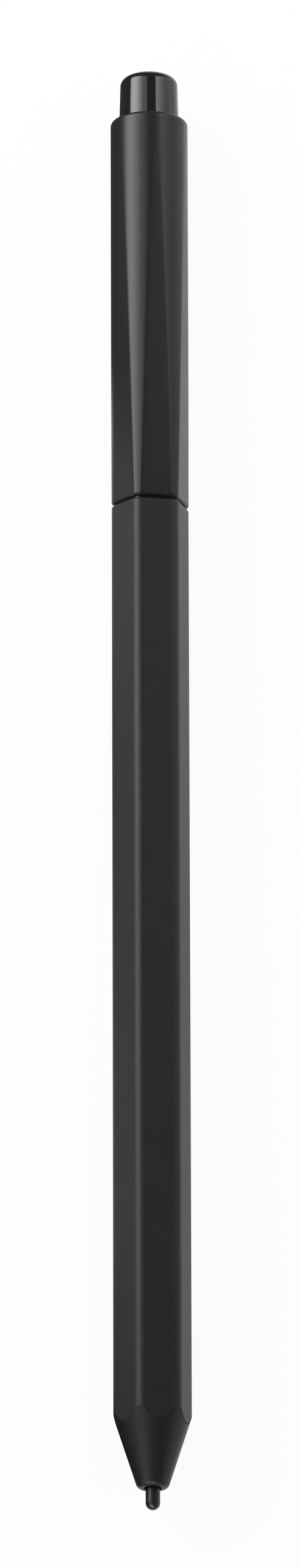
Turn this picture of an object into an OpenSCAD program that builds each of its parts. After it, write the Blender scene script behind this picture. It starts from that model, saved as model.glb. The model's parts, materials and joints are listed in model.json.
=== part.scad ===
// Battery-free stylus pen with a hexagonal barrel, a sharpened cone and an eraser end.
// It lies on one flat along Y, with its nib towards -Y. All sizes are in millimetres.

/* [Barrel] */
// Length from the nose face to the shoulder that meets the cap
barrel_len = 113.0; // [100:0.1:130]
// Size across the flats of the hexagon
barrel_flats = 7.85; // [7.4:0.05:9]
// Rounding of the six long edges
corner_r = 1.3; // [0.5:0.1:1.6]
// Wall between a flat and the bore
barrel_wall = 0.975; // [0.7:0.025:1]
// Diameter of the nose face before it is rounded
nose_d = 3.35; // [3:0.05:3.8]
// Rounding of the nose edge
nose_round = 0.7; // [0.2:0.05:0.8]
// Half angle of the sharpened cone
cone_angle = 17.8; // [15:0.1:19]
// Wall of the hollow cone
cone_wall = 0.75; // [0.6:0.05:0.85]
// Length of the plain hole through the nose
nose_web = 2.2; // [1.8:0.1:3]
// Chamfer along the rims on both sides of the seam
rim_break = 0.22; // [0.1:0.02:0.4]

/* [Nib] */
// Diameter of the nib
nib_d = 1.6; // [1.4:0.05:1.7]
// How far the nib stands out of the nose
nib_reach = 2.4; // [2:0.1:4]
// Radial room between the nib and the nose hole
nib_room = 0.15; // [0.1:0.01:0.25]
// Travel of the nib under full pressure
nib_travel = 0.4; // [0.2:0.05:0.6]

/* [Rear cap] */
// Length of the cap
cap_len = 45.8; // [42:0.1:60]
// Length over which the flats run out into the round end
flat_run = 42.5; // [36:0.5:44]
// Rounding of the rear edge
crown_round = 0.3; // [0.2:0.05:0.6]
// Width of the shadow gap between barrel and cap
seam_gap = 0.3; // [0.2:0.05:0.6]
// Wall between the cap's mouth and its bore, at a flat
cap_wall = 0.825; // [0.6:0.025:0.9]

/* [Eraser end] */
// Diameter of the eraser where it leaves the cap
eraser_d = 6.7; // [6:0.1:6.9]
// How far the eraser stands out of the cap
eraser_reach = 5.4; // [3:0.1:8]
// Draft angle of the eraser's side
eraser_draft = 1.5; // [0:0.1:3]
// Rounding of the eraser's rear edge
eraser_round = 0.8; // [0.3:0.1:1.2]
// Travel of the eraser when pressed
eraser_travel = 0.8; // [0.4:0.1:1.2]
// Length of the eraser's skirt inside the cap
skirt_len = 3.0; // [2:0.1:4]
// Wall of the skirt
skirt_wall = 0.8; // [0.6:0.05:0.9]
// Diameter of the eraser's stem
stem_d = 2.5; // [2.2:0.1:2.8]
// Wire of the eraser spring
eraser_wire = 0.3; // [0.2:0.02:0.36]
// Turns of the eraser spring
eraser_turns = 8; // [5:1:9]

/* [Tip antenna] */
// Diameter of the ferrite core
core_d = 3.6; // [3.4:0.1:3.8]
// Length of the ferrite core
core_len = 13; // [10:0.5:18]
// Thickness of the winding on the core
coil_build = 0.65; // [0.3:0.05:0.75]
// Length of the winding
coil_len = 8; // [5:0.5:8.5]
// Diameter of the coil's lead wires
lead_d = 0.24; // [0.16:0.02:0.28]

/* [Pressure sensor] */
// Thickness of the front rubber ring
nose_ring_t = 0.9; // [0.5:0.1:1.2]
// Depth of the pocket that holds the core's rear end
packing_pocket = 1.2; // [0.8:0.1:1.6]
// Rubber between the core and the board holder
packing_web = 1.4; // [0.8:0.1:2]
// Wall of the sensor chamber
chamber_wall = 0.65; // [0.5:0.05:0.7]
// Front wall of the sensor chamber
chamber_face = 1.0; // [0.8:0.1:1.6]
// Thickness of the nib holder's flange
flange_t = 1.0; // [0.6:0.1:1.6]
// Length of the nib holder behind its flange
holder_tail = 3.0; // [2.5:0.1:4]
// Wall of the nib holder round the nib
holder_wall = 0.4; // [0.3:0.05:0.45]
// Length of the rubber pad on the nib holder
pad_len = 1.3; // [1:0.1:2]
// Thickness of the dielectric disc
disc_t = 0.5; // [0.3:0.05:1]
// Thickness of the metal terminal behind the disc
terminal_t = 0.4; // [0.2:0.05:0.8]
// Wire of the return spring
return_wire = 0.22; // [0.16:0.02:0.24]
// Turns of the return spring
return_turns = 5; // [4:1:6]

/* [Circuit board] */
// Length of the circuit board
board_len = 54; // [45:1:62]
// Width of the circuit board
board_w = 4.4; // [4:0.1:4.6]
// Thickness of the circuit board
board_t = 0.8; // [0.6:0.1:1]
// Side of the square tuning chip
chip_side = 3; // [2:0.5:3.5]
// Height of the tuning chip
chip_h = 0.8; // [0.5:0.1:1]
// Number of tuning capacitors
capacitor_count = 8; // [4:1:12]

/* [Joint sleeve] */
// Length of the sleeve inside the barrel
sleeve_seat = 12.8; // [9:0.2:14]
// Length of the sleeve inside the cap
sleeve_reach = 12; // [8:0.2:14]
// Bore of the sleeve
sleeve_bore_d = 3.8; // [3.4:0.1:4]
// Thickness of the rubber ring that grips the cap
grip_ring_t = 0.6; // [0.4:0.05:0.65]
// Thickness of the damper behind the board holder
damper_t = 1.0; // [0.6:0.1:1.6]

/* [Eraser antenna] */
// Length of the eraser's ferrite rod
rod_len = 12; // [9:0.5:13]
// Diameter of the eraser's ferrite rod
rod_d = 2.6; // [2.2:0.1:2.8]
// Thickness of the winding on the bobbin
eraser_coil_build = 0.6; // [0.3:0.05:0.7]
// Thickness of the bobbin's tube and flanges
bobbin_wall = 0.5; // [0.4:0.05:0.6]
// Thickness of the moving ferrite slug
slug_t = 1.2; // [0.8:0.1:1.6]

/* [Hidden] */
$fn = 96;

// Clearances: a seated piece, a sliding piece, a free moving piece
seat_gap = 0.02;
slide_gap = 0.05;
free_gap = 0.1;
// Room that is left past the end of a travel
stop_gap = 0.3;
// Overshoot of a cutting tool past the face that it cuts
over = 1;

// Radii and widths that pieces share
apothem = barrel_flats / 2;
edge_reach = apothem / cos(30) - corner_r * (1 / cos(30) - 1);
bore_r = apothem - barrel_wall;
nib_r = nib_d / 2;
nib_hole_r = nib_r + nib_room;
cap_bore_r = apothem - cap_wall;
core_r = core_d / 2;
coil_r = core_r + seat_gap + coil_build;

// Stations along the axis, measured from the tip of the nib
nose_z = nib_reach;
shoulder_z = nose_z + barrel_len;
mouth_z = shoulder_z + seam_gap;
crown_z = mouth_z + cap_len;
total_len = crown_z + eraser_reach;

// Outer and inner cone as functions of the station
function cone_r(z) = nose_d / 2 + (z - nose_z) * tan(cone_angle);
function hollow_r(z) = cone_r(z) - cone_wall / cos(cone_angle);
function hollow_z(r) = nose_z + (r + cone_wall / cos(cone_angle) - nose_d / 2) / tan(cone_angle);

// Tip antenna stations
ring_z = nose_z + nose_web;
core_z = ring_z + nose_ring_t;
core_end_z = core_z + core_len;
core_front_r = min(core_r, hollow_r(core_z) - free_gap);
coil_z = max(hollow_z(coil_r + free_gap), core_z + free_gap);
coil_end_z = coil_z + coil_len;

// Pressure sensor stations and radii
holder_z = core_end_z + packing_web;
chamber_z = holder_z + chamber_face;
flange_z = chamber_z + slide_gap;
spring_z = flange_z + flange_t;
tail_z = spring_z + holder_tail;
pad_z = tail_z + pad_len;
disc_z = pad_z + nib_travel + slide_gap;
terminal_z = disc_z + disc_t;
chamber_end_z = terminal_z + terminal_t + seat_gap;
holder_r = bore_r - seat_gap;
chamber_r = holder_r - chamber_wall;
tail_r = nib_r + seat_gap + holder_wall;
stem_hole_r = tail_r + free_gap;
// Solid end of the nib holder behind the nib
socket_floor = 0.8;
nib_end_z = tail_z - socket_floor;
return_r = (tail_r + chamber_r) / 2;

// Circuit board stations
chamber_back = 2.0;
tray_z = chamber_end_z + chamber_back;
board_room = 0.4;
board_z = tray_z + board_room;
sleeve_z = shoulder_z - sleeve_seat;
damper_z = sleeve_z - damper_t;
holder_end_z = damper_z - seat_gap;
// The tray ends behind the board, and a tube takes up the rest of the board holder's length
tray_end_z = board_z + board_len + board_room;
tube_wall = 0.8;
// Places along the board: the chip from the board's front end, the capacitors behind the chip
chip_offset = 14;
chip_z = board_z + chip_offset;
capacitor_offset = 3;
capacitor_z = chip_z + chip_side + capacitor_offset;
capacitor_size = [1.0, 0.5, 0.5];
capacitor_pitch = 1.6;

// Joint sleeve stations
sleeve_r = cap_bore_r - slide_gap;
sleeve_end_z = mouth_z + sleeve_reach;
// Depth of the hexagonal collar below the barrel's outline
collar_inset = 0.25;
grip_z = mouth_z + sleeve_reach / 2;
grip_mid_r = cap_bore_r - seat_gap - grip_ring_t / 2;

// Eraser stations
eraser_r = eraser_d / 2;
pocket_r = eraser_r + slide_gap;
skirt_z = crown_z - skirt_len;
pocket_z = skirt_z - eraser_travel - stop_gap;
cap_web_t = 1.2;
web_z = pocket_z - cap_web_t;
stem_r = stem_d / 2;
eraser_roof_t = 2.4;
roof_z = total_len - eraser_roof_t;
cavity_r = eraser_r - skirt_wall;
clip_t = 0.4;
clip_z = web_z - slide_gap - clip_t;
clip_depth = 0.3;
clip_groove_r = stem_r - clip_depth;
clip_lip = 1.0;
clip_r = stem_r + clip_lip;
// Width of the clip's mouth, as a share of the groove's radius
clip_mouth = 1.4;
stem_tail = 2.0;
stem_end_z = clip_z - stem_tail;
slug_lip = 0.4;
slug_r = stem_r + slug_lip;
slug_z = stem_end_z - slug_t;
rod_end_z = slug_z - eraser_travel - stop_gap;
rod_r = rod_d / 2;
rod_z = rod_end_z - rod_len;
bobbin_r = cap_bore_r - seat_gap;
bobbin_tube_r = rod_r + seat_gap + bobbin_wall;
bobbin_z = rod_z + bobbin_wall;
bobbin_end_z = rod_end_z - bobbin_wall;
eraser_coil_r = bobbin_tube_r + seat_gap + eraser_coil_build;
eraser_spring_r = (stem_r + cavity_r) / 2;
eraser_capacitor_size = [1.6, 0.8, 0.8];
// Distance of the eraser's capacitor from the rim of the bobbin's flange
capacitor_inset = 0.3;

// Points of an arc round a centre, from one angle to another
function arc(centre, r, from, to, steps = 8) =
    [for (i = [0:steps]) let (a = from + (to - from) * i / steps) centre + r * [cos(a), sin(a)]];

// Outline of a hexagon with rounded corners and flats that face +Y and -Y
function hexagon(apothem, r) =
    [for (a = [0:60:300]) for (p = arc((apothem - r) / cos(30) * [cos(a), sin(a)], r, a - 30, a + 30)) p];

// Lays the pen's axis along Y, with a flat facing down and the widest part on the ground
module lay_down() {
    translate([0, -total_len / 2, edge_reach]) rotate([-90, 0, 0]) children();
}

// Tube from station z0 to station z1
module tube(outer, inner, z0, z1) {
    rotate_extrude() translate([inner, z0]) square([outer - inner, z1 - z0]);
}

// Solid cylinder from station z0 to station z1
module rod(r, z0, z1) {
    translate([0, 0, z0]) cylinder(r = r, h = z1 - z0);
}

// Cutters for a 45 degree chamfer along the six flats of a rim; side is +1 for a rear rim, -1 for a front rim
module rim_cutters(z, side) {
    for (k = [0:5]) rotate([0, 0, 60 * k]) translate([0, apothem - rim_break, z]) rotate([side * 45, 0, 0])
        translate([-barrel_flats, 0, -barrel_flats]) cube([2 * barrel_flats, barrel_flats, 2 * barrel_flats]);
}

// Centre line of a spring: a helix between two stations, with eight points to a turn
spring_steps = 8;
function spring_path(r, z0, z1, wire, turns) =
    let (low = z0 + wire / 2 + seat_gap, rise = z1 - z0 - wire - 2 * seat_gap, steps = turns * spring_steps)
    [for (i = [0:steps]) let (a = 360 * i / spring_steps) [r * cos(a), r * sin(a), low + rise * i / steps]];

// Least clear gap between the turns of a spring, measured on the points of its centre line
function turn_gap(path, wire) =
    let (last = len(path) - 1, apart = spring_steps / 2)
    min([for (i = [0:last]) for (j = [i + apart:last]) norm(path[i] - path[j])]) - wire;

// Paths of the two springs
return_path = spring_path(return_r, spring_z, disc_z, return_wire, return_turns);
eraser_path = spring_path(eraser_spring_r, pocket_z, roof_z, eraser_wire, eraser_turns);

// Closed tube through a list of rings that have the same number of points
module swept_tube(rings) {
    sides = len(rings[0]);
    last = (len(rings) - 1) * sides;
    side_faces = [for (i = [0:len(rings) - 2]) for (k = [0:sides - 1])
        let (p = i * sides + k, q = i * sides + (k + 1) % sides)
        for (face = [[p, p + sides, q], [q, p + sides, q + sides]]) face];
    start_faces = [for (k = [1:sides - 2]) [0, k, k + 1]];
    end_faces = [for (k = [1:sides - 2]) [last, last + k + 1, last + k]];
    polyhedron([for (ring = rings) for (p = ring) p], concat(side_faces, start_faces, end_faces));
}

// Helical spring of round wire
module spring(path, wire) {
    swept_tube([for (c = path) let (out = [c[0], c[1], 0] / norm([c[0], c[1]]))
        [for (b = [0:60:300]) c + wire / 2 * (cos(b) * out + sin(b) * [0, 0, 1])]]);
}

// Round wire through points that lie in a plane across X, with mitred bends
module wire_run(points, d) {
    steps = [for (i = [0:len(points) - 2]) (points[i + 1] - points[i]) / norm(points[i + 1] - points[i])];
    swept_tube([for (i = [0:len(points) - 1])
        let (before = steps[max(i - 1, 0)], after = steps[min(i, len(steps) - 1)], both = before + after)
        let (along = both / norm(both), across = [0, -along[2], along[1]] / (along * after))
        [for (b = [0:60:300]) points[i] + d / 2 * (cos(b) * [1, 0, 0] + sin(b) * across)]]);
}

// Hexagonal barrel with its sharpened cone, one moulding
module barrel() {
    nose_arc_r = cone_r(nose_z + nose_round) - nose_round / cos(cone_angle);
    nose_arc = arc([nose_arc_r, nose_z + nose_round], nose_round, -90, -cone_angle);
    cone_top_z = nose_z + (apothem / cos(30) - nose_d / 2) / tan(cone_angle);
    color("#2b2b2c") lay_down() difference() {
        intersection() {
            translate([0, 0, nose_z]) linear_extrude(barrel_len) polygon(hexagon(apothem, corner_r));
            rotate_extrude() polygon(concat(
                [[0, nose_z]], nose_arc,
                [[cone_r(cone_top_z), cone_top_z], [cone_r(cone_top_z), shoulder_z], [0, shoulder_z]]
            ));
        }
        rod(nib_hole_r, nose_z - over, ring_z + over);
        rotate_extrude() polygon([
            [0, ring_z], [hollow_r(ring_z), ring_z], [bore_r, hollow_z(bore_r)],
            [bore_r, shoulder_z + over], [0, shoulder_z + over]
        ]);
        rim_cutters(shoulder_z, 1);
    }
}

// Replaceable nib, a plain rod with a round point
module nib() {
    color("#1f1f20") lay_down() rotate_extrude() polygon(concat(
        arc([0, nib_r], nib_r, -90, 0),
        [[nib_r, nib_end_z - free_gap], [nib_r - free_gap, nib_end_z], [0, nib_end_z]]
    ));
}

// Rubber ring that seats the core in the nose
module nose_ring() {
    color("#3a3a3a") lay_down() tube(hollow_r(ring_z) - seat_gap, nib_hole_r, ring_z, core_z);
}

// Ferrite tube round the nib, tapered at the front to follow the hollow cone
module ferrite_core() {
    taper_z = max(core_z + seat_gap, hollow_z(core_r + free_gap));
    color("#4a4744") lay_down() rotate_extrude() polygon([
        [nib_hole_r, core_z], [core_front_r, core_z], [core_r, taper_z],
        [core_r, core_end_z], [nib_hole_r, core_end_z]
    ]);
}

// Copper winding on the ferrite core
module tip_coil() {
    color("#a8622e") lay_down() tube(coil_r, core_r + seat_gap, coil_z, coil_end_z);
}

// Two wires from the winding, over the sensor and down to the board
lead_x = 0.9;
lead_r = bore_r - lead_d / 2 - slide_gap;
lead_y = sqrt(lead_r * lead_r - lead_x * lead_x);
module coil_leads() {
    coil_y = (core_r + coil_r) / 2;
    board_y = board_t / 2 + lead_d / 2 + seat_gap;
    down_z = tray_z + board_room;
    color("#b5722f") lay_down() for (side = [-1, 1]) wire_run([
        [side * lead_x, -coil_y, coil_end_z + seat_gap],
        [side * lead_x, -coil_y, coil_end_z + lead_d],
        [side * lead_x, -lead_y, coil_end_z + lead_d + lead_y - coil_y],
        [side * lead_x, -lead_y, down_z],
        [side * lead_x, -board_y, down_z + lead_y - board_y],
        [side * lead_x, -board_y, down_z + lead_y]
    ], lead_d);
}

// Slot along the top of the inner pieces that the leads run in
module lead_slot(z0, z1) {
    depth = bore_r - lead_y + lead_d / 2 + free_gap;
    width = 2 * lead_x + lead_d + 2 * free_gap;
    translate([-width / 2, -bore_r - over, z0 - over]) cube([width, depth + over, z1 - z0 + 2 * over]);
}

// Rubber packing that holds the core's rear end and takes up knocks
module core_packing() {
    packing_z = core_end_z - packing_pocket;
    color("#353535") lay_down() difference() {
        rod(holder_r, packing_z, holder_z);
        rod(core_r + seat_gap, packing_z - over, core_end_z);
        rod(stem_hole_r, packing_z - over, holder_z + over);
        lead_slot(packing_z, holder_z);
    }
}

// Moulded carrier: sensor chamber in front, board tray behind, tube at the rear end
module board_holder() {
    color("#4b4f54") lay_down() difference() {
        rod(holder_r, holder_z, holder_end_z);
        rod(stem_hole_r, holder_z - over, chamber_z + over);
        rod(chamber_r, chamber_z, chamber_end_z);
        // the chamber is open at the top, so the sensor drops in sideways
        translate([-chamber_r, -bore_r - over, chamber_z])
            cube([2 * chamber_r, bore_r + over, chamber_end_z - chamber_z]);
        // the tray lies below the board
        translate([-bore_r - over, -bore_r - over, tray_z])
            cube([2 * (bore_r + over), bore_r + over + board_t / 2, tray_end_z - tray_z]);
        rod(holder_r - tube_wall, tray_end_z + tube_wall, holder_end_z + over);
        lead_slot(holder_z, tray_z);
    }
}

// Holder that grips the nib's rear end and slides in the sensor chamber
module nib_holder() {
    front_z = core_end_z + seat_gap + slide_gap;
    color("#d8d8d4") lay_down() difference() {
        union() {
            rod(tail_r, front_z, tail_z);
            rod(chamber_r - free_gap, flange_z, spring_z);
        }
        rod(nib_r + seat_gap, front_z - over, nib_end_z + seat_gap);
    }
}

// Conductive rubber pad that meets the dielectric disc under pressure
module pressure_pad() {
    color("#262626") lay_down() rotate_extrude() polygon(concat(
        [[0, tail_z]],
        [for (a = [0:7.5:90]) [tail_r * cos(a), tail_z + pad_len * sin(a)]]
    ));
}

// Spring that returns the nib
module return_spring() {
    color("#b9bbbd") lay_down() spring(return_path, return_wire);
}

// Ceramic disc of the pressure capacitor
module dielectric_disc() {
    color("#e6ddc8") lay_down() rod(chamber_r - seat_gap, disc_z, terminal_z);
}

// Metal contact behind the disc
module sensor_terminal() {
    color("#c7a45a") lay_down() rod(chamber_r - seat_gap, terminal_z, terminal_z + terminal_t);
}

// Narrow circuit board on the tray
module circuit_board() {
    color("#1f5a38") lay_down() translate([-board_w / 2, -board_t / 2, board_z])
        cube([board_w, board_t, board_len]);
}

// Chip that tunes and codes the pen's signal
module tuning_chip() {
    color("#1b1b1c") lay_down() translate([-chip_side / 2, -board_t / 2 - chip_h, chip_z])
        cube([chip_side, chip_h, chip_side]);
}

// Row of chip capacitors behind the chip
module tuning_capacitors() {
    size = capacitor_size;
    color("#b9a48a") lay_down() for (i = [0:capacitor_count - 1])
        translate([-size[0] / 2, -board_t / 2 - size[2], capacitor_z + i * capacitor_pitch])
            cube([size[0], size[2], size[1]]);
}

// Rubber ring between the board holder and the sleeve
module rear_damper() {
    color("#333333") lay_down() tube(holder_r, sleeve_bore_d / 2, damper_z, sleeve_z);
}

// Sleeve that joins barrel and cap; its collar sets the shadow gap
module joint_sleeve() {
    groove = grip_ring_t + 2 * seat_gap;
    color("#18181a") lay_down() difference() {
        union() {
            rod(holder_r, sleeve_z, shoulder_z);
            translate([0, 0, shoulder_z]) linear_extrude(seam_gap)
                polygon(hexagon(apothem - collar_inset, corner_r - collar_inset));
            rod(sleeve_r, mouth_z, sleeve_end_z);
        }
        rod(sleeve_bore_d / 2, sleeve_z - over, sleeve_end_z + over);
        tube(sleeve_r + over, grip_mid_r - groove / 2, grip_z - groove / 2, grip_z + groove / 2);
    }
}

// Rubber ring that grips the cap
module grip_ring() {
    color("#2a2a2a") lay_down() rotate_extrude() translate([grip_mid_r, grip_z]) circle(d = grip_ring_t);
}

// Rear cap: round at the crown, with six flats that widen towards the seam
module rear_cap() {
    run_out = atan((edge_reach - apothem) / flat_run);
    crown_arc = arc([edge_reach - crown_round, crown_z - crown_round], crown_round, 0, 90);
    color("#2b2b2c") lay_down() difference() {
        rotate_extrude() polygon(concat([[0, mouth_z], [edge_reach, mouth_z]], crown_arc, [[0, crown_z]]));
        for (k = [0:5]) rotate([0, 0, 60 * k]) translate([0, apothem, mouth_z]) rotate([-run_out, 0, 0])
            translate([-barrel_flats / 2, 0, -over]) cube([barrel_flats, barrel_flats, flat_run + 2 * over]);
        rod(cap_bore_r, mouth_z - over, web_z);
        rod(stem_r + slide_gap, web_z - over, pocket_z + over);
        rod(pocket_r, pocket_z, crown_z + over);
        rim_cutters(mouth_z, -1);
    }
}

// Eraser: glossy head, skirt and stem in one piece
module eraser_tip() {
    rear_r = eraser_r - eraser_reach * tan(eraser_draft);
    rear_arc = arc([rear_r - eraser_round, total_len - eraser_round], eraser_round, 0, 90);
    color("#151516") lay_down() difference() {
        rotate_extrude() polygon(concat(
            [[0, skirt_z], [eraser_r, skirt_z], [eraser_r, crown_z]], rear_arc, [[0, total_len]]
        ));
        tube(cavity_r, stem_r, skirt_z - over, roof_z);
    }
    color("#151516") lay_down() difference() {
        rod(stem_r, stem_end_z, skirt_z + over);
        tube(stem_r + over, clip_groove_r, clip_z - seat_gap, clip_z + clip_t + seat_gap);
    }
}

// Spring under the eraser's roof
module eraser_spring() {
    color("#b9bbbd") lay_down() spring(eraser_path, eraser_wire);
}

// Open steel clip that keeps the stem in the cap
module eraser_clip() {
    mouth_w = clip_mouth * clip_groove_r;
    color("#9fa2a6") lay_down() difference() {
        tube(clip_r, clip_groove_r + seat_gap, clip_z, clip_z + clip_t);
        translate([0, -mouth_w / 2, clip_z - over]) cube([clip_r + over, mouth_w, clip_t + 2 * over]);
    }
}

// Ferrite slug on the stem, which moves towards the rod when the eraser is pressed
module eraser_slug() {
    color("#4a4744") lay_down() rod(slug_r, slug_z, stem_end_z);
}

// Bobbin that is seated in the cap's bore
module eraser_bobbin() {
    color("#3d4146") lay_down() difference() {
        union() {
            rod(bobbin_tube_r, bobbin_z, bobbin_end_z);
            rod(bobbin_r, bobbin_z, bobbin_z + 2 * bobbin_wall);
            rod(bobbin_r, bobbin_end_z - 2 * bobbin_wall, bobbin_end_z);
        }
        rod(rod_r + seat_gap, bobbin_z - over, bobbin_end_z + over);
    }
}

// Fixed ferrite rod of the eraser antenna
module eraser_rod() {
    color("#4a4744") lay_down() rod(rod_r, rod_z, rod_end_z);
}

// Copper winding on the bobbin
module eraser_coil() {
    winding_z = bobbin_z + 2 * bobbin_wall + seat_gap;
    winding_end_z = bobbin_end_z - 2 * bobbin_wall - seat_gap;
    color("#a8622e") lay_down() tube(eraser_coil_r, bobbin_tube_r + seat_gap, winding_z, winding_end_z);
}

// Chip capacitor across the eraser winding, on the bobbin's front flange
module eraser_capacitor() {
    size = eraser_capacitor_size;
    color("#b9a48a") lay_down()
        translate([-size[0] / 2, bobbin_r - capacitor_inset - size[1], bobbin_z - size[2]]) cube(size);
}

echo(return_spring_gap = turn_gap(return_path, return_wire));
echo(eraser_spring_gap = turn_gap(eraser_path, eraser_wire));

barrel();
nib();
nose_ring();
ferrite_core();
tip_coil();
coil_leads();
core_packing();
board_holder();
nib_holder();
pressure_pad();
return_spring();
dielectric_disc();
sensor_terminal();
circuit_board();
tuning_chip();
tuning_capacitors();
rear_damper();
joint_sleeve();
grip_ring();
rear_cap();
eraser_tip();
eraser_spring();
eraser_clip();
eraser_slug();
eraser_bobbin();
eraser_rod();
eraser_coil();
eraser_capacitor();
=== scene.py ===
"""Looks of a battery-free stylus pen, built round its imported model.

Each piece is a surface worked out on a grid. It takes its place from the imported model, and its finish from
shader nodes.
"""

import json
import math

import bpy
import numpy as np
from bpy.props import FloatProperty, FloatVectorProperty, IntProperty, PointerProperty
from mathutils import Matrix, Vector


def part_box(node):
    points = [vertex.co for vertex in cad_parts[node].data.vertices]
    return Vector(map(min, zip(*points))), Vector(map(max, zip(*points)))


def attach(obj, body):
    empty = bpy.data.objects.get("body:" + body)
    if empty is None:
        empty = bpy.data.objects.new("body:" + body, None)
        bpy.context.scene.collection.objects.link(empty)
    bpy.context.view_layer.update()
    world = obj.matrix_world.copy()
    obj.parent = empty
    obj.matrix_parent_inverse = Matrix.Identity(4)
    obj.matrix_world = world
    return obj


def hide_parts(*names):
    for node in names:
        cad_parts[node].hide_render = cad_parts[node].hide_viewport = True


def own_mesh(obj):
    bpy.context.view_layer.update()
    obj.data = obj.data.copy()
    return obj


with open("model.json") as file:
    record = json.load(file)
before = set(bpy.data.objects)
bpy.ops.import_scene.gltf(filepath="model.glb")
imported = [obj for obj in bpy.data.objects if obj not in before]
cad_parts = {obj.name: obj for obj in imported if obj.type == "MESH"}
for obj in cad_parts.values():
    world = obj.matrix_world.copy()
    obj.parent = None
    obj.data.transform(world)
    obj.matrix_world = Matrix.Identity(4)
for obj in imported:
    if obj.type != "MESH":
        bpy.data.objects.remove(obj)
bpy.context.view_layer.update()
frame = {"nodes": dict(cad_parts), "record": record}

bl_info = {
    "name": "Stylus pen",
    "version": (1, 0, 0),
    "blender": (4, 5, 0),
    "location": "View3D > Sidebar > Stylus",
    "description": "Builds the shells, springs, windings and finishes of a stylus pen",
    "category": "Object",
}

MM = 0.001

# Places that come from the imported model: the pen's axis runs along Y at AXIS_HEIGHT
BARREL_LOW, BARREL_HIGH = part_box("barrel")
AXIS_HEIGHT = (BARREL_LOW.z + BARREL_HIGH.z) / 2
APOTHEM = (BARREL_HIGH.z - BARREL_LOW.z) / 2
EDGE_REACH = BARREL_HIGH.x
NOSE_Y, SHOULDER_Y = BARREL_LOW.y, BARREL_HIGH.y
CAP_LOW, CAP_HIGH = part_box("rear_cap")
SLEEVE_LOW, SLEEVE_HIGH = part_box("joint_sleeve")
ERASER_LOW, ERASER_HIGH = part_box("eraser_tip")
CLIP_LOW, CLIP_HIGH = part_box("eraser_clip")
NIB_LOW, NIB_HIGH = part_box("nib")
RING_LOW, RING_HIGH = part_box("grip_ring")
NOSE_RING_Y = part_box("nose_ring")[0].y

SIXTH = math.pi / 3
# Columns of a turned piece
ROUND_COLUMNS = 96
# Share of the straight part beside a rounding that its support point may use
SUPPORT_SHARE = 0.4
# Roundings that the panel doesn't show, and the room of a ring in its groove
BROKEN_EDGE = 0.12 * MM
SMALL_EDGE = 0.1 * MM
FINE_EDGE = 0.08 * MM
RING_EDGE = 0.06 * MM
GROOVE_EDGE = 0.04 * MM
RING_ROOM = 0.02 * MM


def size(name, millimetres, description):
    """A length that the panel shows."""
    return FloatProperty(
        name=name, description=description, default=millimetres * MM,
        min=0.0, precision=5, unit="LENGTH", subtype="DISTANCE",
    )


def tilt(name, degrees, description):
    """An angle that the panel shows."""
    return FloatProperty(name=name, description=description, default=math.radians(degrees), subtype="ANGLE")


def count(name, default, description):
    """A whole number that the panel shows."""
    return IntProperty(name=name, description=description, default=default, min=1)


def colour(name, default, description):
    """A linear colour that the panel shows."""
    return FloatVectorProperty(
        name=name, description=description, default=default, size=3, min=0.0, max=1.0, subtype="COLOR"
    )


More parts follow.
